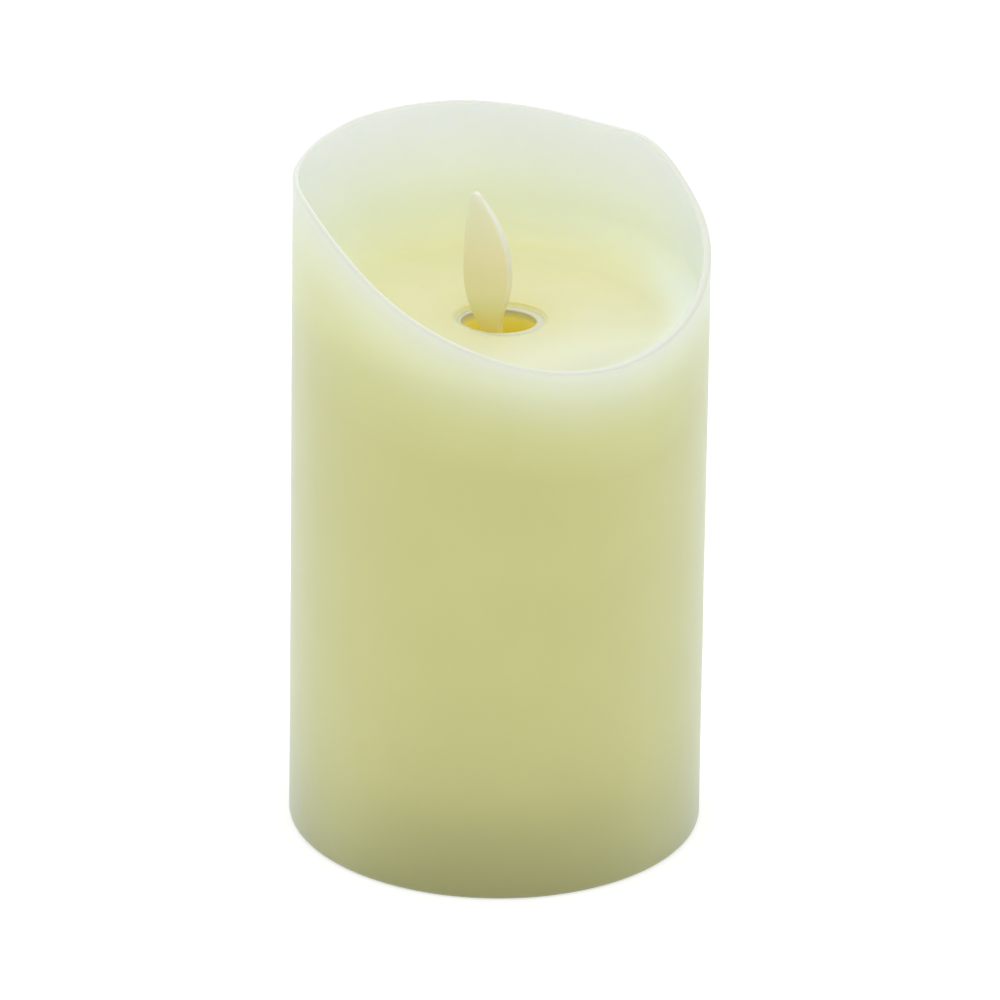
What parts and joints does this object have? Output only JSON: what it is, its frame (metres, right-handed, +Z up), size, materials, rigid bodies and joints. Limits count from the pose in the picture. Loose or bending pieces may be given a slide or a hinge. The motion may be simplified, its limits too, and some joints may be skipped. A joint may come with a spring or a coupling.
{
  "type": "flameless led candle",
  "caption": "Battery pillar candle: hollow wax shell with a melted dished top, a swinging flame blade in a round collar, and a base with battery door and switch.",
  "frame": {"origin": "centre of the candle's foot, on the surface it stands on", "axes": "+Z up along the pillar's axis, -Y the front, +X to the right of someone who looks at the front"},
  "size_m": [0.0762, 0.0762, 0.1273],
  "materials": {
    "wax": "smooth, slightly translucent wax with a soft sheen",
    "white_plastic": "fine moulded texture",
    "flame_plastic": "smooth translucent ivory",
    "magnet": "nickel plated",
    "steel": "plain",
    "copper": "enamelled copper wire",
    "black_plastic": "fine moulded texture",
    "led_lens": "clear lens with a warm tint",
    "red_insulation": "soft sleeve",
    "black_insulation": "soft sleeve",
    "yellow_insulation": "soft sleeve",
    "circuit_board": "solder mask",
    "capacitor_sleeve": "shrink sleeve",
    "cell_sleeve": "plain printed sleeve, no mark"
  },
  "bodies": {
    "body": {"wax_shell": "wax", "flame_collar": "white_plastic", "pivot_wire": "steel", "case_left": "white_plastic", "case_right": "white_plastic", "case_screws": "steel", "coil_bobbin": "black_plastic", "coil_winding": "copper", "coil_leads": "copper", "led": "led_lens", "led_holder": "black_plastic", "led_leads": "red_insulation", "control_board": "circuit_board", "control_chip": "black_plastic", "capacitor": "capacitor_sleeve", "driver_transistor": "black_plastic", "resistors": "black_plastic", "lead_sockets": "white_plastic", "board_screws": "steel", "engine_screws": "steel", "battery_housing": "white_plastic", "positive_terminal": "steel", "negative_terminal": "steel", "negative_spring": "steel", "positive_lead": "red_insulation", "negative_lead": "black_insulation", "cell_1": "cell_sleeve", "cell_2": "cell_sleeve", "base_plate": "white_plastic", "base_screws": "steel", "switch_body": "steel", "switch_screws": "steel", "switch_leads": "yellow_insulation"},
    "flame": {"flame": "flame_plastic", "flame_magnet": "magnet"},
    "door": {"battery_door": "white_plastic", "bridge_contact": "steel", "door_spring": "steel"},
    "switch": {"switch_knob": "black_plastic"}
  },
  "joints": [
    {"name": "flame_swing", "type": "hinge", "parent": "body", "child": "flame", "pos_m": [0, 0, 0.0837], "axis": [0.4695, 0.8829, 0], "range_deg": [-6, 20]},
    {"name": "door_open", "type": "hinge", "parent": "body", "child": "door", "pos_m": [0, -0.0114, 0.0019], "axis": [-1, 0, 0], "range_deg": [0, 100], "stiffness_Nm_per_rad": 0.02, "springref_deg": -5.73},
    {"name": "switch_slide", "type": "slide", "parent": "body", "child": "switch", "axis": [1, 0, 0], "range_m": [-0.002, 0.002]}
  ]
}
